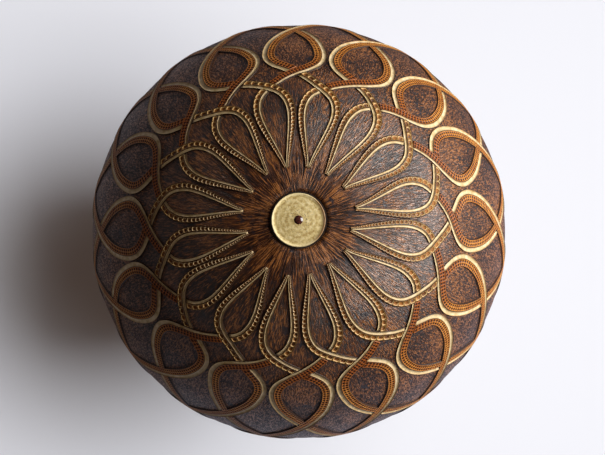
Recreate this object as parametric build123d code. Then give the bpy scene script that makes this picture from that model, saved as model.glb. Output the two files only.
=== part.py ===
from build123d import *

import os
from math import acos, asin, atan2, cos, degrees, hypot, pi, radians, sin, sqrt

# A gourd maraca: a near-round calabash head on a wooden stick that runs right through it.
# The stick's end grain shows as a pale disc on top of the head, with a small peg in its
# middle. Below the head the stick swells into the grip. Loose round seeds lie in the head.
# Millimetres. Z runs up the stick, and Z 0 is the free end of the grip.

# Head: the round top and the fuller, longer curve below it, which draws in to the neck.
HEAD_R = 52.0
WALL = 4.0
LOWER_R = 75.0
LOWER_FROM = 115.0  # degrees down from the top where the lower curve takes over
THROAT_R = 14.0  # hollow curve between the lower curve and the neck
NECK_R = 10.2
NECK_STRAIGHT = 16.0

# Stick and grip, one piece of turned wood.
STICK_R = 6.0
GRIP_R = 8.0
GRIP_STRAIGHT = 92.0
WAIST_R = 7.1
SHOULDER_R = 9.4
SHOULDER_Z = 116.0
END_ROUND = 3.0
DISC_PROUD = 0.35
RIM_INSIDE = 5.1  # the end face dips a little inside its rim
RIM_RISE = 0.2
RIM_CHAMFER = 0.12

# Rings and pins round the stick.
GLUE_GAP = 0.02
SEAL_WIDTH = 0.4
SEAL_HEIGHT = 3.4
COLLAR_R = 11.6
COLLAR_HEIGHT = 5.0
COLLAR_ROUND = 1.8
PEG_R = 1.0
PEG_LENGTH = 11.0
PEG_DOME = 0.35
PIN_R = 1.2
PIN_ABOVE_NECK_END = 3.2
CORD_DIAMETER = 1.6
CORD_TURNS = 5
CORD_VALLEY = 0.5  # how far the groove between two turns dips below their crowns
BINDING_ABOVE_NECK_END = 6.4

# Seeds, in rings round the stick: how many, and how far out their middles lie.
SEED_R = 3.0
SEED_SPREAD = 0.05  # largest difference in size, as a share
SEED_GAP = 0.3
SEED_RINGS = [(9, 10.8), (15, 18.2)]
HILUM_R = 0.9
HILUM_DEPTH = 0.3
GOLDEN_TURN = 137.5

# Heights along the axis.
NECK_END_Z = SHOULDER_Z + COLLAR_HEIGHT
THROAT_X = NECK_R + THROAT_R
LOWER_X = (HEAD_R - LOWER_R) * sin(radians(LOWER_FROM))
LOWER_UP = (HEAD_R - LOWER_R) * cos(radians(LOWER_FROM))
THROAT_DOWN = sqrt((LOWER_R + THROAT_R) ** 2 - (THROAT_X - LOWER_X) ** 2) - LOWER_UP
HEAD_Z = NECK_END_Z + NECK_STRAIGHT + THROAT_DOWN
LOWER_Z = HEAD_Z + LOWER_UP
THROAT_Z = HEAD_Z - THROAT_DOWN
PIN_Z = NECK_END_Z + PIN_ABOVE_NECK_END
DISC_Z = HEAD_Z + HEAD_R + DISC_PROUD


def turned(*outline):
    """The solid that a closed outline of edges, drawn as radius and height, makes about Z."""
    return revolve(Plane.XZ * make_face([*outline]), Axis.Z)


def arc(centre, radius, start, end):
    """An arc from one angle to another, in degrees from straight outwards."""
    return CenterArc(centre, radius, start, end - start)


def gourd_shell():
    top_hole = STICK_R + SEAL_WIDTH + GLUE_GAP
    bore = STICK_R + GLUE_GAP
    inner, inner_lower = HEAD_R - WALL, LOWER_R - WALL
    head, lower, throat = (0, HEAD_Z), (LOWER_X, LOWER_Z), (THROAT_X, THROAT_Z)
    join = 90 - LOWER_FROM
    to_throat = -degrees(atan2(LOWER_Z - THROAT_Z, THROAT_X - LOWER_X))
    at_bore = -degrees(acos((bore - LOWER_X) / inner_lower))
    outer_top = arc(head, HEAD_R, 90 - degrees(asin(top_hole / HEAD_R)), join)
    outer_lower = arc(lower, LOWER_R, join, to_throat)
    outer_throat = arc(throat, THROAT_R, 180 + to_throat, 180)
    neck = Polyline((NECK_R, THROAT_Z), (NECK_R, NECK_END_Z), (bore, NECK_END_Z))
    inner_low_arc = arc(lower, inner_lower, at_bore, join)
    inner_top_arc = arc(head, inner, join, 90 - degrees(asin(top_hole / inner)))
    shell = turned(
        outer_top,
        outer_lower,
        outer_throat,
        *neck.edges(),
        Line(neck @ 1, inner_low_arc @ 0),
        inner_low_arc,
        inner_top_arc,
        Line(inner_top_arc @ 1, outer_top @ 0),
    )
    return shell - pin_bar(PIN_R + GLUE_GAP, 2 * NECK_R + 4)


def handle():
    dome_r = HEAD_R + DISC_PROUD
    dome = arc((0, HEAD_Z), dome_r, 90, 90 - degrees(asin(RIM_INSIDE / dome_r)))
    crest = (STICK_R - RIM_CHAMFER, (dome @ 1).Y + RIM_RISE)
    hollow = ((RIM_INSIDE + crest[0]) / 2, (dome @ 1).Y + 0.35 * RIM_RISE)
    rim = ThreePointArc(dome @ 1, hollow, crest)
    chamfer = Line(crest, (STICK_R, crest[1] - RIM_CHAMFER))
    stick = Line(chamfer @ 1, (STICK_R, SHOULDER_Z))
    shoulder = Line((STICK_R, SHOULDER_Z), (SHOULDER_R, SHOULDER_Z))
    flare = Spline(
        (SHOULDER_R, SHOULDER_Z),
        (WAIST_R, (SHOULDER_Z + GRIP_STRAIGHT) / 2),
        (GRIP_R, GRIP_STRAIGHT),
        tangents=[(-0.5, -1), (0, -1)],
    )
    grip = Line((GRIP_R, GRIP_STRAIGHT), (GRIP_R, END_ROUND))
    end_round = arc((GRIP_R - END_ROUND, END_ROUND), END_ROUND, 0, -90)
    end_face = Line((GRIP_R - END_ROUND, 0), (0, 0))
    axis = Line((0, 0), (0, DISC_Z))
    body = turned(dome, rim, chamfer, stick, shoulder, flare, grip, end_round, end_face, axis)
    peg_hole = cylinder_up(PEG_R + GLUE_GAP, DISC_Z - PEG_LENGTH, DISC_Z + 1)
    return body - peg_hole - pin_bar(PIN_R + GLUE_GAP, 2 * NECK_R + 4)


def cylinder_up(radius, low, high):
    return Pos(0, 0, (low + high) / 2) * Cylinder(radius, high - low)


def pin_bar(radius, length):
    """A round bar across the neck, along X."""
    return Pos(0, 0, PIN_Z) * Rot(0, 90, 0) * Cylinder(radius, length)


def cross_pin():
    """Driven through the neck and the stick, and trimmed to the neck's curve."""
    return pin_bar(PIN_R, 2 * NECK_R + 4) & cylinder_up(NECK_R, PIN_Z - 3, PIN_Z + 3)


def end_peg():
    """A small hardwood peg with a domed head, in the middle of the stick's end grain."""
    low = DISC_Z - PEG_LENGTH + GLUE_GAP
    dome_r = (PEG_R**2 + PEG_DOME**2) / (2 * PEG_DOME)
    dome_from = degrees(acos(PEG_R / dome_r))
    side = Line((PEG_R, low), (PEG_R, DISC_Z))
    dome = arc((0, DISC_Z + PEG_DOME - dome_r), dome_r, dome_from, 90)
    return turned(Line((0, low), (PEG_R, low)), side, dome, Line(dome @ 1, (0, low)))


def top_seal():
    """A thin ring of dark resin between the stick and the edge of the gourd's top hole."""
    inside, outside = STICK_R + GLUE_GAP, STICK_R + SEAL_WIDTH
    high = HEAD_Z + sqrt(HEAD_R**2 - outside**2)
    corners = [(inside, high), (outside, high), (outside, high - SEAL_HEIGHT)]
    return turned(*Polyline(*corners, (inside, high - SEAL_HEIGHT), close=True).edges())


def neck_collar():
    """A turned wooden ring between the grip's shoulder and the end of the gourd's neck."""
    low, high = SHOULDER_Z + GLUE_GAP, NECK_END_Z - GLUE_GAP
    inside, flat = STICK_R + GLUE_GAP, COLLAR_R - COLLAR_ROUND
    lower = arc((flat, low + COLLAR_ROUND), COLLAR_ROUND, -90, 0)
    upper = arc((flat, high - COLLAR_ROUND), COLLAR_ROUND, 0, 90)
    inner = Polyline((flat, high), (inside, high), (inside, low), (flat, low))
    return turned(lower, Line(lower @ 1, upper @ 0), upper, *inner.edges())


def neck_binding():
    """The outer shape of the waxed cord that is wound round the neck, turn beside turn."""
    inside, crown = NECK_R + GLUE_GAP, NECK_R + CORD_DIAMETER
    valley = crown - CORD_VALLEY
    low = NECK_END_Z + BINDING_ABOVE_NECK_END
    heights = [low + CORD_DIAMETER * i for i in range(CORD_TURNS + 1)]
    turns = [
        ThreePointArc((valley, z), (crown, z + CORD_DIAMETER / 2), (valley, z + CORD_DIAMETER))
        for z in heights[:-1]
    ]
    back = Polyline((valley, heights[-1]), (inside, heights[-1]), (inside, low), (valley, low))
    return turned(*turns, *back.edges())


def seed_height(out, seed_r):
    """How high a seed's middle lies at rest, just clear of the wall below it, and its travel."""
    reach = seed_r + SEED_GAP
    low = LOWER_Z - sqrt((LOWER_R - WALL - reach) ** 2 - (out - LOWER_X) ** 2)
    high = HEAD_Z + sqrt((HEAD_R - WALL - reach) ** 2 - out**2)
    return low, high - low


def seed(number, out, turn):
    """A round canna seed with the small dimple of its stalk, each turned its own way."""
    seed_r = SEED_R * (1 + SEED_SPREAD * sin(number * 2.4))
    low, travel = seed_height(out, seed_r)
    tilt, spin = 60 * sin(number * 1.7), number * GOLDEN_TURN
    dimple = Pos(0, 0, seed_r + HILUM_R - HILUM_DEPTH) * Sphere(HILUM_R)
    body = Sphere(seed_r) - dimple
    print(f"seed_{number:02d} rests at {low:.2f} and can rise {travel:.2f}")
    place = Pos(out * cos(radians(turn)), out * sin(radians(turn)), low)
    return place * Rot(0, tilt, spin) * body


def seeds():
    made, number = {}, 0
    for count, out in SEED_RINGS:
        for i in range(count):
            number += 1
            made[f"seed_{number:02d}"] = seed(number, out, i * 360 / count)
    return made


nodes = {
    "gourd_shell": gourd_shell(),
    "handle": handle(),
    "end_peg": end_peg(),
    "top_seal": top_seal(),
    "neck_collar": neck_collar(),
    "neck_binding": neck_binding(),
    "cross_pin": cross_pin(),
    **seeds(),
}

os.makedirs("parts", exist_ok=True)
for name, shape in nodes.items():
    export_step(shape, f"parts/{name}.step")

cord_per_turn = hypot(2 * pi * (NECK_R + CORD_DIAMETER / 2), CORD_DIAMETER)
print(f"head middle at {HEAD_Z:.2f}, top of the stick at {DISC_Z:.2f}")
print(f"neck binding holds {CORD_TURNS * cord_per_turn:.0f} of cord")
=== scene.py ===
import math

import bpy
import numpy as np
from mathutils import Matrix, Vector


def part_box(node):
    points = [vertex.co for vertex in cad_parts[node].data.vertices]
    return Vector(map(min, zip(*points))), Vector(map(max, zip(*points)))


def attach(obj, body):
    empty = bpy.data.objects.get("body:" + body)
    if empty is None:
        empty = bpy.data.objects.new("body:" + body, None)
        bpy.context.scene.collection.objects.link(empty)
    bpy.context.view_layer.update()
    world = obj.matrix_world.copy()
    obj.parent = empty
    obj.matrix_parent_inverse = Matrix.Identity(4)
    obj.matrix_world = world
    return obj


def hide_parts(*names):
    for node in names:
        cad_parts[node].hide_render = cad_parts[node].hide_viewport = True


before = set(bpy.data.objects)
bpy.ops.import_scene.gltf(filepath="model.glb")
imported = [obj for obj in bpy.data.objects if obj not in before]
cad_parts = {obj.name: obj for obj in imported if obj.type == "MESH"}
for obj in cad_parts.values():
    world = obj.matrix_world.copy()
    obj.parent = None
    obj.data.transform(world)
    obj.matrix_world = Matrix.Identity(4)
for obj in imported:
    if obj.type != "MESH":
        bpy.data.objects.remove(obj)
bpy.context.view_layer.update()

# Lengths are in millimetres up to the point where a mesh is made, and angles are in degrees.
MM = 0.001
BODY = "maraca"


def node_box(node):
    """The lowest and highest corners of a CAD node, in millimetres."""
    return [np.array(corner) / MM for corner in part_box(node)]


# The head's round top has its middle at HEAD_Z. Below LOWER_FROM a longer curve takes over.
HEAD_R = round(node_box("gourd_shell")[1][0])
SEAL_R = node_box("top_seal")[1][0]
HEAD_Z = node_box("top_seal")[1][2] - math.sqrt(HEAD_R**2 - SEAL_R**2)
CORD_D = 1.6
NECK_R = node_box("neck_binding")[1][0] - CORD_D
NECK_END_Z = node_box("gourd_shell")[0][2]
BORE_R = 6.02
WALL = 4.0
LOWER_R = 75.0
LOWER_FROM = math.radians(115)
THROAT_R = 14.0
THROAT_X = NECK_R + THROAT_R
LOWER_X = (HEAD_R - LOWER_R) * math.sin(LOWER_FROM)
LOWER_UP = (HEAD_R - LOWER_R) * math.cos(LOWER_FROM)
THROAT_DOWN = math.sqrt((LOWER_R + THROAT_R) ** 2 - (THROAT_X - LOWER_X) ** 2) - LOWER_UP
LOWER_TO = math.pi / 2 + math.atan2(THROAT_DOWN + LOWER_UP, THROAT_X - LOWER_X)
BALL_LENGTH = HEAD_R * LOWER_FROM
LOWER_LENGTH = LOWER_R * (LOWER_TO - LOWER_FROM)
THROAT_LENGTH = THROAT_R * (LOWER_TO - math.pi / 2)
NECK_LENGTH = HEAD_Z - THROAT_DOWN - NECK_END_Z
OUTSIDE_LENGTH = BALL_LENGTH + LOWER_LENGTH + THROAT_LENGTH + NECK_LENGTH


def meridian(down):
    """Radius, height and outward normal of the gourd's skin, at a length down from the pole."""
    down = np.asarray(down, float)
    along_lower = down - BALL_LENGTH
    along_throat = along_lower - LOWER_LENGTH
    along_neck = along_throat - THROAT_LENGTH
    ball = down / HEAD_R
    lower = LOWER_FROM + along_lower / LOWER_R
    throat = LOWER_TO - along_throat / THROAT_R
    flat = np.full_like(down, math.pi / 2)
    zones = [along_lower <= 0, along_throat <= 0, along_neck <= 0]
    angle = np.select(zones, [ball, lower, throat], flat)
    out, up = np.sin(angle), np.cos(angle)
    radius = np.select(
        zones, [HEAD_R * out, LOWER_X + LOWER_R * out, THROAT_X - THROAT_R * out], NECK_R
    )
    height = np.select(
        zones,
        [HEAD_R * up, LOWER_UP + LOWER_R * up, -THROAT_DOWN - THROAT_R * up],
        -THROAT_DOWN - along_neck,
    )
    return radius, HEAD_Z + height, out, up


def on_skin(turn, down, lift=0.0):
    """Points on the skin and their normals, at an angle in radians and a length down."""
    radius, height, out, up = meridian(down)
    normal = np.stack([out * np.cos(turn), out * np.sin(turn), up], -1)
    point = np.stack([radius * np.cos(turn), radius * np.sin(turn), height], -1)
    return point + normal * np.asarray(lift)[..., None], normal


# The carving: sixteen teardrops round the top, and the bands that go on from them.
PERIODS = 16
FIRST_TIP = -10.0
MIRROR = 83.0  # the pattern repeats upside down below this many degrees from the pole
LOWER_STRETCH = 1.16
GROUND = -0.2  # the stained ground lies this far below the gourd's own skin
TOP = 0.16  # and the bands' edges stand this far above it
BURIED = GROUND - 0.12

# The path of a band's pale groove: shares of a period to the side, and degrees from the pole.
BAND_PATH = [
    (0.022, 13.6),
    (0.06, 15.3),
    (0.15, 18.2),
    (0.235, 21.8),
    (0.29, 25.4),
    (0.302, 28.8),
    (0.255, 31.8),
    (0.16, 34.2),
    (0.0, 36.2),
    (-0.155, 37.7),
    (-0.31, 39.3),
    (-0.5, 41.1),
    (-0.715, 43.1),
    (-0.88, 45.7),
    (-0.945, 49.0),
    (-0.92, 53.0),
    (-0.825, 58.0),
    (-0.67, 63.2),
    (-0.5, 68.3),
    (-0.25, 75.6),
    (0.0, MIRROR),
]
CROSSINGS = [8, 11, 18, 20, 22, 29, 32]  # where the path meets another band
FULL_PATH = BAND_PATH + [(-side, 2 * MIRROR - down) for side, down in BAND_PATH[-2::-1]]

# Sizes along the band: degrees from the pole, and the size there. GROOVE is the groove's width,
# WIDTH that of the pits beside it, DARK_LINE that of the dark line on either side of the pits.
GROOVE = {
    "over": (
        [13, 15, 22, 28, 36, 41, 41.6, 50, 62, 83],
        [0.14, 0.26, 0.4, 0.55, 0.74, 0.7, 1.1, 1.12, 1.05, 0.9],
    ),
    "under": (
        [13, 15, 22, 28, 36, 36.8, 41, 48, 62, 83],
        [0.14, 0.26, 0.4, 0.55, 0.7, 0.5, 0.6, 1.1, 1.05, 0.9],
    ),
}
WIDTH = {
    "over": (
        [13, 15, 19, 24, 30, 36, 41, 41.6, 60, 83],
        [0.2, 0.38, 0.62, 0.9, 1.1, 1.2, 1.2, 1.5, 1.55, 1.4],
    ),
    "under": (
        [13, 15, 19, 24, 30, 36, 36.8, 44, 60, 83],
        [0.2, 0.38, 0.62, 0.9, 1.1, 1.2, 1.4, 1.5, 1.55, 1.4],
    ),
}
DARK_LINE = ([13, 17, 22], [0.07, 0.15, 0.2])
GOLD_PITCH = ([14, 19, 24, 30, 36, 41], [0.42, 0.68, 0.95, 1.26, 1.6, 1.8])
AMBER_PITCH = ([36, 45, 83], [0.74, 0.84, 0.84])
CLEAR = 0.2  # gap between a band and one that goes over it


def mirrored(down_degrees):
    return np.where(down_degrees > MIRROR, 2 * MIRROR - down_degrees, down_degrees)


def sized(table, down_degrees):
    return np.interp(mirrored(down_degrees), *table)


def smooth_line(points, steps):
    """A Catmull-Rom curve through the points, with so many steps from each to the next."""
    p = np.array(points, float)
    p = np.vstack([2 * p[0] - p[1], p, 2 * p[-1] - p[-2]])
    t = np.linspace(0, 1, steps, endpoint=False)[:, None]
    runs = []
    for a, b, c, d in zip(p, p[1:], p[2:], p[3:]):
        cubic = 3 * b - 3 * c + d - a
        runs.append(b + 0.5 * t * (c - a + t * (2 * a - 5 * b + 4 * c - d + t * cubic)))
    return np.vstack([*runs, p[-2]])


chance = np.random.default_rng(16)
WAVE_COUNTS = (2, 3, 5, 7, 9, 11, 13)  # round the head
WAVES = [
    (m, *chance.uniform(0, 2 * math.pi, 2), *chance.uniform(-1, 1, 2)) for m in WAVE_COUNTS
]
HAND_SIDE, HAND_DOWN = 0.008, 0.45  # how far the carver's hand strays, in radians and degrees


def by_hand(side, down_degrees):
    """The angle and the length down of a point of the pattern, with the carver's unevenness."""
    turn = -np.radians(side * 360 / PERIODS) + math.radians(FIRST_TIP)
    drift, dip = 0.0, 0.0
    for m, first, second, weight_side, weight_down in WAVES:
        sway = m * turn + np.radians(down_degrees) * (1 + m % 4)
        drift = drift + weight_side * np.sin(sway + first)
        dip = dip + weight_down * np.sin(sway + second)
    even = down_degrees + HAND_DOWN * dip
    below = np.clip(even - MIRROR, 0, None)
    down = np.radians(np.minimum(even, MIRROR) + below * LOWER_STRETCH) * HEAD_R
    return turn + HAND_SIDE * drift, down


STEPS = 40  # points of a band's line from each point of its path to the next


def band_line(number, kind):
    """One band's groove from the upper tip to the lower one, as arrays by length along it."""
    flip = 1 if kind == "over" else -1
    line = smooth_line(FULL_PATH, STEPS)
    turn, down = by_hand(number + flip * line[:, 0], line[:, 1])
    point, normal = on_skin(turn, down)
    length = np.concatenate([[0], np.cumsum(np.linalg.norm(np.diff(point, axis=0), axis=1))])
    ahead = np.gradient(point, axis=0)
    ahead /= np.linalg.norm(ahead, axis=1)[:, None]
    across = -flip * np.cross(normal, ahead)  # from the groove towards the pits
    return {
        "kind": kind,
        "length": length,
        "degrees": line[:, 1],
        "marks": length[np.array(CROSSINGS) * STEPS],
        "fields": np.hstack([point, normal, across, ahead]),
    }


def at(line, length, field=None):
    """The band's point, normal, side direction and heading at a length along it."""
    flat = np.ravel(length)
    fields = [np.interp(flat, line["length"], column) for column in line["fields"].T]
    fields = np.stack(fields, -1).reshape(*np.shape(length), 4, 3)
    return fields if field is None else fields[..., field, :]


POINT, NORMAL, ACROSS, AHEAD = range(4)


def degrees_at(line, length):
    return np.interp(length, line["length"], line["degrees"])


def edges_of(line, length):
    """How far a band's outer edges lie from its groove's middle: the groove's and the band's."""
    down = degrees_at(line, length)
    groove = sized(GROOVE[line["kind"]], down)
    return -groove / 2, groove / 2 + sized(DARK_LINE, down) + sized(WIDTH[line["kind"]], down)


bands = {
    kind: [band_line(number, kind) for number in range(PERIODS)] for kind in ("over", "under")
}
# At each crossing, the band that goes under there, and how many periods on the other one starts.
UNDER_AT = ["under", "over", "under", "over", "under", "over", "under"]
OTHER_BY = [2 * FULL_PATH[i][0] for i in CROSSINGS]


def other_band(number, kind, crossing):
    flip = 1 if kind == "over" else -1
    other = "under" if kind == "over" else "over"
    return bands[other][int(round(number + flip * OTHER_BY[crossing])) % PERIODS]


def cut_at(line, number, crossing, leaving):
    """A function of the offset to the side: the length along the band where it meets, or comes
    out from, the edge of the band that passes over it."""
    over = other_band(number, line["kind"], crossing)
    here, there = line["marks"][crossing], over["marks"][crossing]
    side, head = at(line, here, ACROSS), at(line, here, AHEAD)
    over_side = at(over, there, ACROSS)
    low, high = edges_of(over, there)
    slope, drift = head @ over_side, side @ over_side
    edge = low - CLEAR if (slope > 0) != leaving else high + CLEAR
    return lambda offset: here + (edge - offset * drift) / slope


def stretches(line, number):
    """The visible stretches of a band, each as its start and end functions."""
    hidden = [i for i, kind in enumerate(UNDER_AT) if kind == line["kind"]]
    starts = [lambda offset: np.full_like(offset, line["length"][0])]
    stops = []
    for crossing in hidden:
        stops.append(cut_at(line, number, crossing, leaving=False))
        starts.append(cut_at(line, number, crossing, leaving=True))
    stops.append(lambda offset: np.full_like(offset, line["length"][-1]))
    return list(zip(starts, stops))


SHEAR_OVER = 2.4  # length at each end of a stretch over which its rows turn to meet the cut
CAP_BEYOND = 0.04


def sheared(lengths, offsets, start, stop):
    """Lengths along for each row and column, so that both ends meet the slanting cuts."""
    first, last = start(offsets), stop(offsets)
    middle_first, middle_last = lengths[0], lengths[-1]
    from_start = np.clip(1 - (lengths - middle_first) / SHEAR_OVER, 0, 1)[:, None]
    from_end = np.clip(1 - (middle_last - lengths) / SHEAR_OVER, 0, 1)[:, None]
    moved = (first - middle_first) * from_start**2 + (last - middle_last) * from_end**2
    return lengths[:, None] + moved


def place(line, lengths, offsets, heights):
    """Points at lengths along, offsets across and heights above the gourd's skin."""
    fields = at(line, lengths)
    lift = heights - offsets**2 / (2 * HEAD_R)
    return (
        fields[..., POINT, :]
        + fields[..., ACROSS, :] * offsets[..., None]
        + fields[..., NORMAL, :] * lift[..., None]
    )


def capped(points, line, lengths, offsets):
    """Adds a row at each end that drops from the band's surface into the ground."""
    sunk = np.full_like(offsets[0], BURIED)
    first = place(line, lengths[0] - CAP_BEYOND, offsets[0], sunk)
    last = place(line, lengths[-1] + CAP_BEYOND, offsets[-1], sunk)
    return np.concatenate([first[None], points, last[None]])


class Sheets:
    """Grids of points that become one mesh, with values kept at every point."""

    def __init__(self):
        self.points, self.quads, self.values, self.count = [], [], {}, 0

    def add(self, points, **values):
        rows, columns = points.shape[:2]
        index = self.count + np.arange(rows * columns).reshape(rows, columns)
        corners = [index[:-1, :-1], index[:-1, 1:], index[1:, 1:], index[1:, :-1]]
        self.quads.append(np.stack(corners, -1).reshape(-1, 4))
        self.points.append(points.reshape(-1, 3))
        for name, value in values.items():
            value = np.broadcast_to(value, (rows, columns)).reshape(-1)
            self.values.setdefault(name, []).append(value)
        self.count += rows * columns


def quad_mesh(name, points, quads, values=None):
    mesh = bpy.data.meshes.new(name)
    mesh.vertices.add(len(points))
    mesh.vertices.foreach_set("co", (points * MM).astype(np.float32).ravel())
    mesh.loops.add(quads.size)
    mesh.loops.foreach_set("vertex_index", quads.astype(np.int32).ravel())
    mesh.polygons.add(len(quads))
    mesh.polygons.foreach_set("loop_start", np.arange(0, quads.size, 4, dtype=np.int32))
    mesh.update(calc_edges=True)
    for key, value in (values or {}).items():
        attribute = mesh.attributes.new(key, "FLOAT", "POINT")
        attribute.data.foreach_set("value", value.astype(np.float32))
    mesh.shade_smooth()
    piece = bpy.data.objects.new(name, mesh)
    bpy.context.scene.collection.objects.link(piece)
    return piece


def finished(sheets, name, material):
    """The mesh of some sheets, in one material."""
    quads = np.vstack(sheets.quads)
    values = {key: np.concatenate(parts) for key, parts in sheets.values.items()}
    piece = quad_mesh(name, np.vstack(sheets.points), quads, values)
    piece.data.materials.append(material)
    return piece


def outwards(points):
    """The grid with its columns reversed if its faces look into the gourd."""
    middle = np.array([0, 0, HEAD_Z])
    a, b, c = points[1, 0], points[1, 1], points[2, 0]
    if np.cross(b - a, c - a) @ (a - middle) < 0:
        return points[:, ::-1], True
    return points, False


def add_grid(sheets, points, **values):
    points, turned = outwards(points)
    shaped = {}
    for key, value in values.items():
        value = np.broadcast_to(value, points.shape[:2])
        shaped[key] = value[:, ::-1] if turned else value
    sheets.add(points, **shaped)


def end_rows(values):
    """Values for the two extra rows that capped() adds."""
    return np.concatenate([values[:1], values, values[-1:]])


# The groove is a round-bottomed channel. These are shares of its width and of its depth.
GROOVE_STEPS = 8
ROUND = np.linspace(0, math.pi, GROOVE_STEPS + 1)
GROOVE_ACROSS = np.concatenate([[-0.5], -0.5 * np.cos(ROUND), [0.5]])
GROOVE_DEPTH = np.concatenate([[0.0], np.sin(ROUND) ** 1.15, [0.0]])
GROOVE_LIP = 0.07
DEEP_SHARE, MOST_DEEP = 0.4, 0.3  # depth as a share of the width, and the greatest depth
GROOVE_ROW = 0.5


def groove_of(sheets, line, start, stop):
    middle = np.zeros(1)
    first, last = start(middle)[0], stop(middle)[0]
    rows = max(4, int((last - first) / GROOVE_ROW))
    lengths = np.linspace(first, last, rows)
    width = sized(GROOVE[line["kind"]], degrees_at(line, lengths))[:, None]
    offsets = GROOVE_ACROSS * width
    offsets[:, 0] -= GROOVE_LIP
    offsets[:, -1] += GROOVE_LIP
    depth = np.minimum(width * DEEP_SHARE, MOST_DEEP)
    heights = TOP - depth * GROOVE_DEPTH
    heights[:, 0] = BURIED
    heights[:, -1] = TOP - 0.02
    lengths = sheared(lengths, offsets, start, stop)
    points = capped(place(line, lengths, offsets, heights), line, lengths, offsets)
    across = np.broadcast_to(2 * GROOVE_ACROSS, heights.shape).copy()
    across[:, 0], across[:, -1] = -1.2, 1.2  # past the lips, where it is dark
    add_grid(sheets, points, across=end_rows(across), along=end_rows(lengths))


# Scooped pits: rows across the band, mesh steps along each pit and across the band, depth,
# spacing, how far the edge draws in between pits, the share of its room that a pit takes up
# along and across, and the power that makes it round (2) or square (more).
PITS = {
    "gold": {
        "rows": 1, "steps": 8, "cuts": 9, "depth": 0.36, "pitch": GOLD_PITCH, "scallop": 0.0,
        "reach": (0.84, 0.82), "square": 3.4,
    },
    "amber": {
        "rows": 2, "steps": 5, "cuts": 10, "depth": 0.2, "pitch": AMBER_PITCH, "scallop": 0.03,
        "reach": (0.7, 0.78), "square": 2.4,
    },
}
DEPTH_SHARE = 0.36  # of a row's width, where that is less than the depth
RIDGE_DIP = 0.02  # of the band's outer edge between two pits
ABOUT_MIDDLE = 0.8  # from the groove's middle to the pits', nearly


def scooped(pits, cells, look):
    """How deep each point lies in its pit: 0 on the land round it and up to 1 in the middle."""

    def from_middle(count, reach):
        share = 2 * (count % 1) - 1
        share = np.where(np.isclose(count, np.round(count)), 1.0, np.abs(share))
        return (share / reach) ** look["square"]

    u = from_middle(pits, look["reach"][0])[:, None]
    v = from_middle(cells, look["reach"][1])[None]
    return np.clip(1 - u - v, 0, 1) ** 0.6


def pit_lengths(line, look, first, last):
    """Whole pits from first to last, spaced by the pitch along the band's own middle line."""
    fine = np.linspace(first, last, 240)
    down = degrees_at(line, fine)
    outer = edges_of(line, fine)[1]
    offset = outer - sized(WIDTH[line["kind"]], down) / 2
    middle = place(line, fine[:, None], offset[:, None], np.zeros((len(fine), 1)))[:, 0]
    walked = np.linalg.norm(np.diff(middle, axis=0), axis=1)
    pace = 1 / sized(look["pitch"], down)
    counted = np.concatenate([[0], np.cumsum((pace[1:] + pace[:-1]) / 2 * walked)])
    count = max(2, round(counted[-1]))
    pits = np.linspace(0, count, count * look["steps"] + 1)
    return pits, np.interp(pits, counted * count / counted[-1], fine)


def pits_of(sheets, line, style, start, stop):
    """The band of scooped pits beside the groove, in one row or two."""
    look = PITS[style]
    middle = np.full(1, ABOUT_MIDDLE)
    first, last = start(middle)[0], stop(middle)[0]
    pits, lengths = pit_lengths(line, look, first, last)
    down = degrees_at(line, lengths)
    edge = sized(DARK_LINE, down)[:, None]
    inner = sized(GROOVE[line["kind"]], down)[:, None] / 2 + edge
    width = sized(WIDTH[line["kind"]], down)[:, None]
    cells = np.linspace(0, look["rows"], look["cuts"] + 1)
    share = cells[None] / look["rows"]
    pinch = 0.5 + 0.5 * np.cos(2 * math.pi * pits)[:, None]  # 1 on the ridges between pits
    offsets = inner + share * width * (1 - look["scallop"] * pinch)
    depth = np.minimum(look["depth"], DEPTH_SHARE * width / look["rows"])
    heights = TOP - depth * scooped(pits, cells, look) - RIDGE_DIP * pinch * share**2
    rim, foot = offsets[:, -1:] + edge * 0.7, offsets[:, -1:] + edge + 0.07
    offsets = np.hstack([inner - edge + np.minimum(edge * 0.4, GROOVE_LIP), offsets, rim, foot])
    flat = np.full_like(inner, TOP)
    heights = np.hstack([flat, heights, heights[:, -1:] - 0.03, 0 * flat + BURIED])
    past = look["rows"]  # less than 0 and more than this is the dark line on either side
    cell = np.concatenate([[-0.2], cells, [past + 0.15, past + 0.3]])
    lengths = sheared(lengths, offsets, start, stop)
    points = capped(place(line, lengths, offsets, heights), line, lengths, offsets)
    along = end_rows(np.broadcast_to(pits[:, None], heights.shape))
    add_grid(sheets, points, along=along, across=np.broadcast_to(cell, along.shape))


HALVES = ("upper", "lower")
WAYS = {"over": "clockwise", "under": "anticlockwise"}


def carve():
    """Every band's sheets, by what they are, and which half and which way round they lie."""
    made = {}
    middle = np.zeros(1)
    for kind, lines in bands.items():
        for number, line in enumerate(lines):
            for start, stop in stretches(line, number):
                ends = degrees_at(line, np.array([start(middle)[0], stop(middle)[0]]))
                half = HALVES[0] if ends.mean() < MIRROR else HALVES[1]
                style = "gold" if mirrored(ends).min() < 15 else "amber"
                groove_of(made.setdefault(f"pale_groove_{half}", Sheets()), line, start, stop)
                name = f"{style}_pits_{half}_{WAYS[kind]}"
                pits_of(made.setdefault(name, Sheets()), line, style, start, stop)
    return made


# Materials.
def node(tree, kind, inputs=None, **settings):
    made = tree.nodes.new("ShaderNode" + kind)
    for name, value in settings.items():
        setattr(made, name, value)
    for name, value in (inputs or {}).items():
        if isinstance(value, bpy.types.NodeSocket):
            tree.links.new(value, made.inputs[name])
        else:
            made.inputs[name].default_value = value
    return made


def maths(tree, operation, *values, clamp=False):
    made = node(tree, "Math", dict(enumerate(values)), operation=operation, use_clamp=clamp)
    return made.outputs[0]


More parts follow.
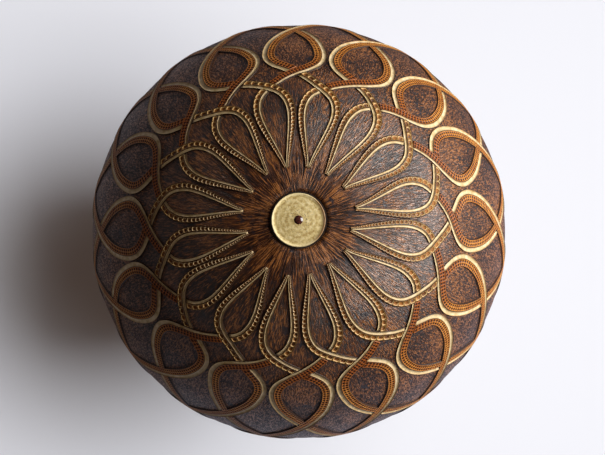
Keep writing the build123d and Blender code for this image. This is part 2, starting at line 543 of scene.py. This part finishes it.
def blend(tree, first, first_share, second, second_share):
    """So much of one value and so much of another, added."""
    part = maths(tree, "MULTIPLY", first, first_share)
    return maths(tree, "ADD", part, maths(tree, "MULTIPLY", second, second_share))


def vector(tree, operation, *values):
    made = node(tree, "VectorMath", operation=operation)
    for slot, value in enumerate(values):
        if isinstance(value, bpy.types.NodeSocket):
            tree.links.new(value, made.inputs[slot])
        else:
            made.inputs[slot].default_value = value
    return made.outputs["Value" if operation in ("LENGTH", "DOT_PRODUCT") else "Vector"]


def scaled_vector(tree, value, by):
    made = node(tree, "VectorMath", {"Scale": by}, operation="SCALE")
    tree.links.new(value, made.inputs[0])
    return made.outputs["Vector"]


def step_between(tree, value, low, high, to_low=0.0, to_high=1.0):
    """A smooth step from to_low to to_high as value goes from low to high."""
    inputs = {"Value": value, "From Min": low, "From Max": high, "To Min": to_low, "To Max": to_high}
    return node(tree, "MapRange", inputs, interpolation_type="SMOOTHSTEP").outputs[0]


def colour(red, green, blue):
    return (red, green, blue, 1.0)


def mixed(tree, share, first, second, how="MIX"):
    inputs = {0: share, 6: first, 7: second}
    return node(tree, "Mix", inputs, data_type="RGBA", blend_type=how).outputs[2]


def ramp(tree, share, *stops):
    made = node(tree, "ValToRGB", {"Fac": share})
    points = made.color_ramp.elements
    while len(points) < len(stops):
        points.new(1.0)
    for point, (place_on, tint) in zip(points, stops):
        point.position, point.color = place_on, tint
    return made.outputs["Color"]


def noise(tree, where, scale, detail=3.0, roughness=0.55, distortion=0.0):
    inputs = {"Vector": where, "Scale": scale, "Detail": detail}
    inputs.update({"Roughness": roughness, "Distortion": distortion})
    return node(tree, "TexNoise", inputs).outputs[0]


def in_millimetres(tree, origin_z=0.0):
    """The point on the surface in millimetres, from a point on the axis."""
    place_on = node(tree, "TexCoord").outputs["Object"]
    moved = vector(tree, "SUBTRACT", place_on, (0, 0, origin_z * MM))
    return scaled_vector(tree, moved, 1 / MM)


def new_material(name):
    material = bpy.data.materials.new(name)
    material.use_nodes = True
    tree = material.node_tree
    return material, tree, tree.nodes["Principled BSDF"]


def bumped(tree, shader, height, strength, distance_mm):
    inputs = {"Height": height, "Strength": strength, "Distance": distance_mm * MM}
    tree.links.new(node(tree, "Bump", inputs).outputs[0], shader.inputs["Normal"])


def attribute(tree, name):
    return node(tree, "Attribute", attribute_name=name).outputs["Fac"]


DARK_SKIN = colour(0.028, 0.012, 0.007)


def stained_gourd():
    """Dark stained skin, scratched outwards from the pole near the top and stippled below."""
    material, tree, shader = new_material("stained_gourd")
    point = in_millimetres(tree, HEAD_Z)
    x, y, z = node(tree, "SeparateXYZ", {0: point}).outputs
    radius = vector(tree, "LENGTH", vector(tree, "MULTIPLY", point, (1, 1, 0)))
    reach = vector(tree, "LENGTH", point)
    from_pole = maths(tree, "ARCCOSINE", maths(tree, "DIVIDE", z, reach))

    def strokes(round_scale, down_scale):
        rays = node(tree, "CombineXYZ", {
            0: maths(tree, "MULTIPLY", maths(tree, "DIVIDE", x, radius), round_scale),
            1: maths(tree, "MULTIPLY", maths(tree, "DIVIDE", y, radius), round_scale),
            2: maths(tree, "MULTIPLY", from_pole, down_scale),
        }).outputs[0]
        return noise(tree, rays, 1.0, 3.0, 0.7, 0.5)

    near = step_between(tree, from_pole, math.radians(12), math.radians(24))
    tight, wide = strokes(38.0, 16.0), strokes(88.0, 30.0)
    rays = node(tree, "Mix", {0: near, 2: tight, 3: wide}).outputs[0]
    stipple = strokes(120.0, 60.0)
    outer = step_between(tree, from_pole, math.radians(32), math.radians(43))
    fine = node(tree, "Mix", {0: outer, 2: rays, 3: stipple}).outputs[0]
    other = noise(tree, point, 1.1, 3.0, 0.7, 0.5)
    patches = noise(tree, point, 0.1, 3.0, 0.6, 0.4)
    tone = maths(tree, "MULTIPLY_ADD", maths(tree, "SUBTRACT", patches, 0.5), 0.3, fine)
    tint = ramp(
        tree, tone,
        (0.4, colour(0.005, 0.002, 0.0015)), (0.46, colour(0.018, 0.006, 0.003)),
        (0.54, colour(0.083, 0.025, 0.006)), (0.6, colour(0.25, 0.097, 0.026)),
    )
    cool = step_between(tree, other, 0.52, 0.62)
    tint = mixed(tree, maths(tree, "MULTIPLY", cool, 0.2), tint, colour(0.09, 0.04, 0.034))
    blotches = step_between(tree, noise(tree, point, 0.34, 3.0, 0.6, 0.5), 0.6, 0.68)
    tint = mixed(tree, maths(tree, "MULTIPLY", blotches, 0.9), tint, colour(0.008, 0.008, 0.014))
    tree.links.new(tint, shader.inputs["Base Color"])
    tree.links.new(step_between(tree, fine, 0.42, 0.58, 0.55, 0.3), shader.inputs["Roughness"])
    waxed = step_between(tree, from_pole, math.radians(10), math.radians(27), 0.15, 0.75)
    # The gloss falls off outwards between 36 and 48 degrees from the pole.
    painted_rim_light_and_gloss_falloff = step_between(tree, from_pole, math.radians(36), math.radians(48), 1.0, 0.55)
    tree.links.new(maths(tree, "MULTIPLY", waxed, painted_rim_light_and_gloss_falloff), shader.inputs["Specular IOR Level"])
    bumped(tree, shader, fine, 1.0, 0.3)
    return material


def pale_groove():
    """The gourd's pale inner wood, cut open by the groove, with painted shade on its walls and dark
    lips.
    """
    material, tree, shader = new_material("pale_groove")
    across = maths(tree, "ABSOLUTE", attribute(tree, "across"))
    point = in_millimetres(tree, HEAD_Z)
    soft = noise(tree, point, 0.8, 4.0, 0.6)
    tint = ramp(
        tree, soft,
        (0.3, colour(0.37, 0.26, 0.11)), (0.5, colour(0.52, 0.41, 0.23)),
        (0.72, colour(0.65, 0.54, 0.37)),
    )
    # Painted shade on the groove's walls: the tint darkens towards both lips.
    painted_wall_shade = step_between(tree, across, 0.4, 0.92, 0.0, 0.5)
    tint = mixed(tree, painted_wall_shade, tint, colour(0.3, 0.16, 0.045))
    tint = mixed(tree, step_between(tree, across, 0.93, 1.0), tint, DARK_SKIN)
    tree.links.new(tint, shader.inputs["Base Color"])
    tree.links.new(step_between(tree, soft, 0.3, 0.7, 0.4, 0.55), shader.inputs["Roughness"])
    shader.inputs["Specular IOR Level"].default_value = 0.2
    bumped(tree, shader, noise(tree, point, 3.0, 3.0), 0.3, 0.05)
    return material


def pitted(style, tints):
    """A band of scooped pits: dark floors, bright walls and a dark line along each side.

    floor_to says where the floor gives way to the wall, as shares of the pit. Between the
    degrees from the pole in top_from, land and wall pass into top_land and top_wall.
    """
    look = PITS[style]
    material, tree, shader = new_material(f"{style}_pits")
    along, across = attribute(tree, "along"), attribute(tree, "across")

    def from_middle(value, reach):
        share = maths(tree, "MULTIPLY_ADD", maths(tree, "FRACT", value), 2.0, -1.0)
        share = maths(tree, "ABSOLUTE", maths(tree, "DIVIDE", share, reach))
        return maths(tree, "POWER", share, look["square"])

    u, v = from_middle(along, look["reach"][0]), from_middle(across, look["reach"][1])
    apart = maths(tree, "ADD", u, v)
    number = node(tree, "CombineXYZ", {
        0: maths(tree, "FLOOR", along), 1: maths(tree, "FLOOR", across)
    }).outputs[0]
    each = node(tree, "TexWhiteNoise", {"Vector": number}).outputs["Value"]
    point = in_millimetres(tree, HEAD_Z)
    soft = noise(tree, point, 0.35, 4.0, 0.6)
    share = blend(tree, each, 0.3, soft, 0.7)
    land = ramp(tree, share, (0.3, tints["land"][0]), (0.75, tints["land"][1]))
    sunk = ramp(tree, share, (0.3, tints["floor"][0]), (0.75, tints["floor"][1]))
    z = node(tree, "SeparateXYZ", {0: point}).outputs["Z"]
    starts, ends = (HEAD_R * math.cos(math.radians(edge)) for edge in tints["top_from"])
    near_top = step_between(tree, z, starts, ends, 0.0, 0.9)
    land = mixed(tree, near_top, land, tints["top_land"])
    wall = mixed(tree, near_top, tints["wall"], tints["top_wall"])
    tint = mixed(tree, step_between(tree, apart, *tints["floor_to"]), sunk, wall)
    tint = mixed(tree, step_between(tree, apart, 0.95, 1.2), tint, land)
    past_rows = step_between(tree, across, look["rows"] + 0.02, look["rows"] + 0.1)
    outside = maths(tree, "ADD", past_rows, step_between(tree, across, -0.02, -0.1), clamp=True)
    tint = mixed(tree, outside, tint, DARK_SKIN)
    tree.links.new(tint, shader.inputs["Base Color"])
    tree.links.new(step_between(tree, apart, 0.4, 1.0, 0.55, 0.36), shader.inputs["Roughness"])
    shader.inputs["Specular IOR Level"].default_value = 0.2
    bumped(tree, shader, noise(tree, point, 4.0, 2.0), 0.25, 0.04)
    return material


materials = {
    "pale": pale_groove(),
    "gold": pitted("gold", {
        "floor": (colour(0.1, 0.035, 0.007), colour(0.3, 0.12, 0.024)),
        "floor_to": (0.45, 0.92),
        "wall": colour(0.74, 0.52, 0.23),
        "land": (colour(0.08, 0.035, 0.008), colour(0.24, 0.12, 0.03)),
        "top_from": (36, 24),
        "top_land": colour(0.04, 0.016, 0.006),
        "top_wall": colour(0.92, 0.72, 0.42),
    }),
    "amber": pitted("amber", {
        "floor": (colour(0.012, 0.003, 0.0015), colour(0.05, 0.011, 0.003)),
        "floor_to": (0.7, 1.0),
        "wall": colour(0.1, 0.024, 0.005),
        "land": (colour(0.32, 0.1, 0.012), colour(0.54, 0.24, 0.04)),
        "top_from": (52, 42),
        "top_land": colour(0.23, 0.06, 0.01),
        "top_wall": colour(0.06, 0.014, 0.004),
    }),
}
for name, sheets in carve().items():
    piece = finished(sheets, name, materials[name.split("_")[0]])
    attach(piece, BODY)


# The gourd itself: the stained ground outside, the wall's edges and the hollow.
COLUMNS = 480
RING_STEP = 1.15
GROUND_WAVES, UNEVEN = 59, 0.006  # small waves in the ground, and how high each one is
LOWEST, HIGHEST = -0.06, 0.02  # limits of their sum


def gourd_skin():
    hole = HEAD_R * math.asin(SEAL_R / HEAD_R)
    down = np.linspace(hole, OUTSIDE_LENGTH, int((OUTSIDE_LENGTH - hole) / RING_STEP))
    turn = np.linspace(0, 2 * math.pi, COLUMNS, endpoint=False)
    lift = np.full((len(down), COLUMNS), GROUND)
    for _ in range(GROUND_WAVES):
        a, b, phase = chance.integers(0, 40), chance.uniform(-0.9, 0.9), chance.uniform(0, 6.28)
        lift += UNEVEN * np.sin(a * turn[None] + b * down[:, None] + phase)
    lift = np.clip(lift, GROUND + LOWEST, GROUND + HIGHEST)
    outside = on_skin(turn[None], down[:, None] + 0 * turn[None], lift)[0]
    inner, inner_lower = HEAD_R - WALL, LOWER_R - WALL
    low = -math.acos((BORE_R - LOWER_X) / inner_lower)
    lower = np.linspace(low, math.pi / 2 - LOWER_FROM, 14)
    upper = np.linspace(math.pi / 2 - LOWER_FROM, math.acos(SEAL_R / inner), 30)[1:]
    profile = [(NECK_R + GROUND - 0.25, NECK_END_Z), (BORE_R, NECK_END_Z)]
    profile += [
        (LOWER_X + inner_lower * math.cos(a), HEAD_Z + LOWER_UP + inner_lower * math.sin(a))
        for a in lower
    ]
    profile += [(inner * math.cos(a), HEAD_Z + inner * math.sin(a)) for a in upper]
    profile = np.array(profile)
    inside = np.stack([
        profile[:, :1] * np.cos(turn), profile[:, :1] * np.sin(turn), profile[:, 1:] + 0 * turn
    ], -1)
    points = np.concatenate([outside, inside])
    rings = len(points)
    index = np.arange(rings * COLUMNS).reshape(rings, COLUMNS)
    across = np.roll(index, -1, axis=1)
    below, below_across = np.roll(index, -1, axis=0), np.roll(across, -1, axis=0)
    quads = np.stack([index, below, below_across, across], -1).reshape(-1, 4)
    return quad_mesh("gourd_skin", points.reshape(-1, 3), quads)


skin = gourd_skin()
skin.data.materials.append(stained_gourd())
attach(skin, BODY)
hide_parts("gourd_shell")


def pale_wood():
    """Pale close wood: mottled end grain on the stick's top, and long grain down the grip."""
    material, tree, shader = new_material("pale_wood")
    point = in_millimetres(tree)
    x, _, z = node(tree, "SeparateXYZ", {0: point}).outputs
    radius = vector(tree, "LENGTH", vector(tree, "MULTIPLY", point, (1, 1, 0)))
    mottle = noise(tree, point, 1.5, 5.0, 0.65, 0.4)
    wavy = blend(tree, radius, 5.2, noise(tree, point, 0.5, 3.0), 7.0)
    rings = maths(tree, "MULTIPLY", maths(tree, "SINE", wavy), 0.05)
    end = ramp(
        tree, maths(tree, "ADD", mottle, rings),
        (0.32, colour(0.3, 0.19, 0.06)), (0.45, colour(0.47, 0.36, 0.14)),
        (0.56, colour(0.6, 0.49, 0.24)), (0.7, colour(0.7, 0.61, 0.37)),
    )
    pores = step_between(tree, noise(tree, point, 3.0, 2.0, 0.5), 0.56, 0.64)
    near_peg = step_between(tree, radius, 1.3, 4.4, 0.9, 0.25)
    pores = maths(tree, "MULTIPLY", pores, near_peg)
    end = mixed(tree, pores, end, colour(0.11, 0.075, 0.025))
    edge = step_between(tree, maths(tree, "MULTIPLY_ADD", mottle, 0.9, radius), 5.7, 6.2)
    # The disc's rim ring: painted light on its left and painted shade on its right, as on the walls of
    # a shallow recess lit from the right.
    painted_lit_rim, painted_shaded_rim = colour(0.78, 0.66, 0.36), colour(0.2, 0.08, 0.025)
    painted_rim_light_and_gloss_falloff = mixed(tree, step_between(tree, x, 2.0, 5.0), painted_lit_rim, painted_shaded_rim)
    end = mixed(tree, maths(tree, "MULTIPLY", edge, 0.8), end, painted_rim_light_and_gloss_falloff)
    fibres = noise(tree, vector(tree, "MULTIPLY", point, (2.4, 2.4, 0.06)), 1.0, 5.0, 0.65, 0.3)
    grown = noise(tree, vector(tree, "MULTIPLY", point, (0.35, 0.35, 0.012)), 1.0, 3.0, 0.5, 0.5)
    long_grain = ramp(
        tree, blend(tree, fibres, 0.6, grown, 0.4),
        (0.36, colour(0.3, 0.17, 0.065)), (0.5, colour(0.5, 0.33, 0.15)),
        (0.66, colour(0.62, 0.45, 0.23)),
    )
    top = step_between(tree, z, STICK_TOP - 1.4, STICK_TOP - 0.9)
    tree.links.new(mixed(tree, top, long_grain, end), shader.inputs["Base Color"])
    tree.links.new(step_between(tree, fibres, 0.3, 0.7, 0.38, 0.52), shader.inputs["Roughness"])
    grain = node(tree, "Mix", {0: top, 2: fibres, 3: mottle}).outputs[0]
    bumped(tree, shader, grain, 0.5, 0.12)
    return material


def plain_material(name, dark, light, scale, rough, stretch=(1, 1, 1), relief=0.06, coat=0.0):
    """A stained or natural surface whose tint wanders between two colours."""
    dark, light = colour(*dark), colour(*light)
    material, tree, shader = new_material(name)
    where = vector(tree, "MULTIPLY", in_millimetres(tree), stretch)
    grain = noise(tree, where, scale, 5.0, 0.62, 0.3)
    tree.links.new(ramp(tree, grain, (0.35, dark), (0.66, light)), shader.inputs["Base Color"])
    tree.links.new(step_between(tree, grain, 0.3, 0.7, rough, rough + 0.12), shader.inputs["Roughness"])
    shader.inputs["Coat Weight"].default_value = coat
    shader.inputs["Coat Roughness"].default_value = 0.12
    bumped(tree, shader, grain, 0.4, relief)
    return material


STICK_TOP = node_box("handle")[1][2]
finishes = {
    "handle": pale_wood(),
    "end_peg": plain_material(
        "dark_hardwood", (0.02, 0.005, 0.004), (0.07, 0.016, 0.01),
        scale=1.4, rough=0.16, stretch=(1, 1, 0.2), relief=0.01, coat=0.6,
    ),
    "top_seal": plain_material(
        "dark_resin", (0.006, 0.004, 0.003), (0.02, 0.01, 0.006),
        scale=1.2, rough=0.34, relief=0.1,
    ),
    "neck_collar": plain_material(
        "dark_turned_wood", (0.03, 0.012, 0.006), (0.11, 0.045, 0.02),
        scale=1.0, rough=0.26, stretch=(0.5, 0.5, 3.0), relief=0.05, coat=0.3,
    ),
    "cross_pin": plain_material(
        "bamboo", (0.36, 0.23, 0.09), (0.62, 0.47, 0.24),
        scale=1.8, rough=0.42, stretch=(0.15, 1, 1),
    ),
}
seed_skin = plain_material(
    "seed_skin", (0.012, 0.008, 0.006), (0.06, 0.035, 0.02),
    scale=0.9, rough=0.3, relief=0.04, coat=0.2,
)
for name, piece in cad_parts.items():
    if name.startswith("seed_"):
        finishes[name] = seed_skin
for name, material in finishes.items():
    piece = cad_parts[name]
    for slot in piece.material_slots:
        slot.material = material


# The neck's cord: three twisted strands, five turns side by side, with both ends tucked in.
CORD_TURNS = 5
CORD_SUNK = 0.05  # how far the cord is pressed on to the neck
STRANDS = 3
STRAND_R = 0.385
STRAND_OUT = 0.415  # from the cord's middle to a strand's
STRAND_SIDES = 10
LAY = 4.6  # length of cord in which a strand goes round once
TUCK, TUCK_IN = 7.0, 1.9  # length of each tucked end, and how far in its tip goes
CORD_STEP = 0.45


def neck_cord():
    low = node_box("neck_binding")[0][2]
    middle_r = NECK_R + CORD_D / 2 - CORD_SUNK
    total = CORD_TURNS * math.hypot(2 * math.pi * middle_r, CORD_D)
    along = np.arange(0, total, CORD_STEP)
    turn = along / total * CORD_TURNS * 2 * math.pi
    tuck = np.clip(1 - np.minimum(along, total - along) / TUCK, 0, 1) ** 2
    out = middle_r - TUCK_IN * tuck
    height = low + CORD_D * turn / (2 * math.pi)
    outward = np.stack([np.cos(turn), np.sin(turn), 0 * turn], -1)
    upward = np.array([0, 0, 1.0])
    middle = outward * out[:, None] + upward * height[:, None]
    points, quads = [], []
    rows = len(along)
    round_turn = np.linspace(0, 2 * math.pi, STRAND_SIDES, endpoint=False)[None, :, None]
    for strand in range(STRANDS):
        twist = (along / LAY + strand / STRANDS) * 2 * math.pi
        strand_dir = np.cos(twist)[:, None] * outward + np.sin(twist)[:, None] * upward
        centre = middle + strand_dir * STRAND_OUT
        spokes = np.cos(round_turn) * outward[:, None] + np.sin(round_turn) * upward
        index = np.arange(rows * STRAND_SIDES).reshape(rows, STRAND_SIDES)
        index += strand * index.size
        across = np.roll(index, -1, axis=1)
        corners = [index[1:], across[1:], across[:-1], index[:-1]]
        quads.append(np.stack(corners, -1).reshape(-1, 4))
        points.append((centre[:, None] + STRAND_R * spokes).reshape(-1, 3))
    return quad_mesh("neck_cord", np.vstack(points), np.vstack(quads))


def waxed_cord():
    """Dark waxed linen: fibres that run along the twist, and wax that catches the light."""
    material, tree, shader = new_material("waxed_cord")
    point = in_millimetres(tree)
    fibres = noise(tree, vector(tree, "MULTIPLY", point, (3.0, 3.0, 7.0)), 1.0, 4.0, 0.7, 0.4)
    uneven = noise(tree, point, 0.25, 3.0, 0.6)
    tint = ramp(
        tree, blend(tree, fibres, 0.6, uneven, 0.4),
        (0.36, colour(0.05, 0.022, 0.01)), (0.5, colour(0.14, 0.07, 0.03)),
        (0.64, colour(0.27, 0.15, 0.07)),
    )
    tree.links.new(tint, shader.inputs["Base Color"])
    tree.links.new(step_between(tree, uneven, 0.3, 0.7, 0.38, 0.6), shader.inputs["Roughness"])
    bumped(tree, shader, fibres, 0.7, 0.12)
    return material


cord = neck_cord()
cord.data.materials.append(waxed_cord())
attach(cord, BODY)
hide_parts("neck_binding")


# Camera: straight down the handle's axis, a little to the near side, eight radii away.
CAMERA_FROM = 8 * HEAD_R
TILT = math.radians(2.95)
FOCAL = 97.8
AIM_BESIDE = Vector((0.89, 1.01, 0)) * MM
head_middle = Vector((0, 0, HEAD_Z * MM))
camera = bpy.data.objects.new("camera", bpy.data.cameras.new("camera"))
bpy.context.scene.collection.objects.link(camera)
camera.data.lens = FOCAL
camera.data.sensor_width = 36.0
camera.data.clip_start = 0.01
aim = head_middle + AIM_BESIDE
camera.location = aim + Vector((0, -math.sin(TILT), math.cos(TILT))) * CAMERA_FROM * MM
camera.rotation_euler = (TILT, 0, 0)
bpy.context.scene.camera = camera


def area_light(name, towards, distance, size, watts, tint):
    """A square soft box in a direction from the head's middle, in metres."""
    data = bpy.data.lights.new(name, "AREA")
    data.shape, data.size, data.energy, data.color = "SQUARE", size, watts, tint
    light = bpy.data.objects.new(name, data)
    direction = Vector(towards).normalized()
    light.location = head_middle + direction * distance
    light.rotation_euler = direction.to_track_quat("Z", "Y").to_euler()
    bpy.context.scene.collection.objects.link(light)
    return light


def floor():
    """A pale table top, in metres, which the gourd's gloss doesn't show."""
    mesh = bpy.data.meshes.new("floor")
    far = 6.0
    corners = [(-far, -far, 0), (far, -far, 0), (far, far, 0), (-far, far, 0)]
    mesh.from_pydata(corners, [], [(0, 1, 2, 3)])
    piece = bpy.data.objects.new("floor", mesh)
    bpy.context.scene.collection.objects.link(piece)
    material, _, shader = new_material("floor")
    shader.inputs["Base Color"].default_value = colour(0.82, 0.82, 0.84)
    shader.inputs["Roughness"].default_value = 0.8
    mesh.materials.append(material)
    piece.visible_glossy = False
    return piece


ground = floor()
floor_only = bpy.data.collections.new("floor_only")
floor_only.objects.link(ground)
all_but_floor = bpy.data.collections.new("all_but_floor")
all_but_floor.objects.link(ground)
all_but_floor.collection_objects[0].light_linking.link_state = "EXCLUDE"

window = area_light("window", (1.0, 0.2, 0.52), 1.0, 0.8, 26.5, (1.0, 0.965, 0.92))
ceiling = area_light("ceiling", (-0.1, 0.4, 1.0), 2.2, 2.0, 0.6, (1.0, 0.96, 0.95))
for light in (window, ceiling):
    light.light_linking.receiver_collection = all_but_floor
    light.visible_camera = False

# The floor's own lamp, from above on the right, so that the head's shadow lies on its left.
floor_lamp = area_light("floor_lamp", (0.34, 0.02, 1.0), 0.5, 0.22, 3.9, (0.96, 0.97, 1.0))
floor_lamp.light_linking.receiver_collection = floor_only
floor_lamp.visible_camera = False
daylight = bpy.data.objects.new("floor_daylight", bpy.data.lights.new("floor_daylight", "SUN"))
daylight.data.energy, daylight.data.angle = 1.1, math.radians(16)
daylight.data.color = (0.9, 0.94, 1.02)
daylight.rotation_euler = Vector((0.4, 0.03, 1.0)).to_track_quat("Z", "Y").to_euler()
bpy.context.scene.collection.objects.link(daylight)
daylight.light_linking.receiver_collection = floor_only

world = bpy.data.worlds.new("studio")
world.use_nodes = True
tree = world.node_tree
towards = node(tree, "TexCoord").outputs["Generated"]
upward = node(tree, "SeparateXYZ", {0: towards}).outputs["Z"]
haze = step_between(tree, maths(tree, "ABSOLUTE", upward), 0.32, 0.0)
sky = mixed(tree, haze, colour(0.065, 0.044, 0.034), colour(0.28, 0.275, 0.29))
# What the wax reflects from below, in place of the floor: a bright table on the right in front,
bright_side = vector(tree, "DOT_PRODUCT", towards, (0.7, -0.7, -0.1))
below = step_between(tree, upward, -0.2, -0.5)
table = maths(tree, "MULTIPLY", step_between(tree, bright_side, -0.05, 0.5), below)
sky = mixed(tree, table, sky, colour(0.62, 0.62, 0.74))
# and a fainter one behind on the left.
behind = vector(tree, "DOT_PRODUCT", towards, (-0.45, 0.9, 0.0))
sheen = maths(tree, "MULTIPLY", step_between(tree, behind, 0.05, 0.4), below)
sky = mixed(tree, sheen, sky, colour(0.3, 0.265, 0.285))
tree.links.new(sky, tree.nodes["Background"].inputs["Color"])
bpy.context.scene.world = world
bpy.context.scene.view_settings.view_transform = "Standard"
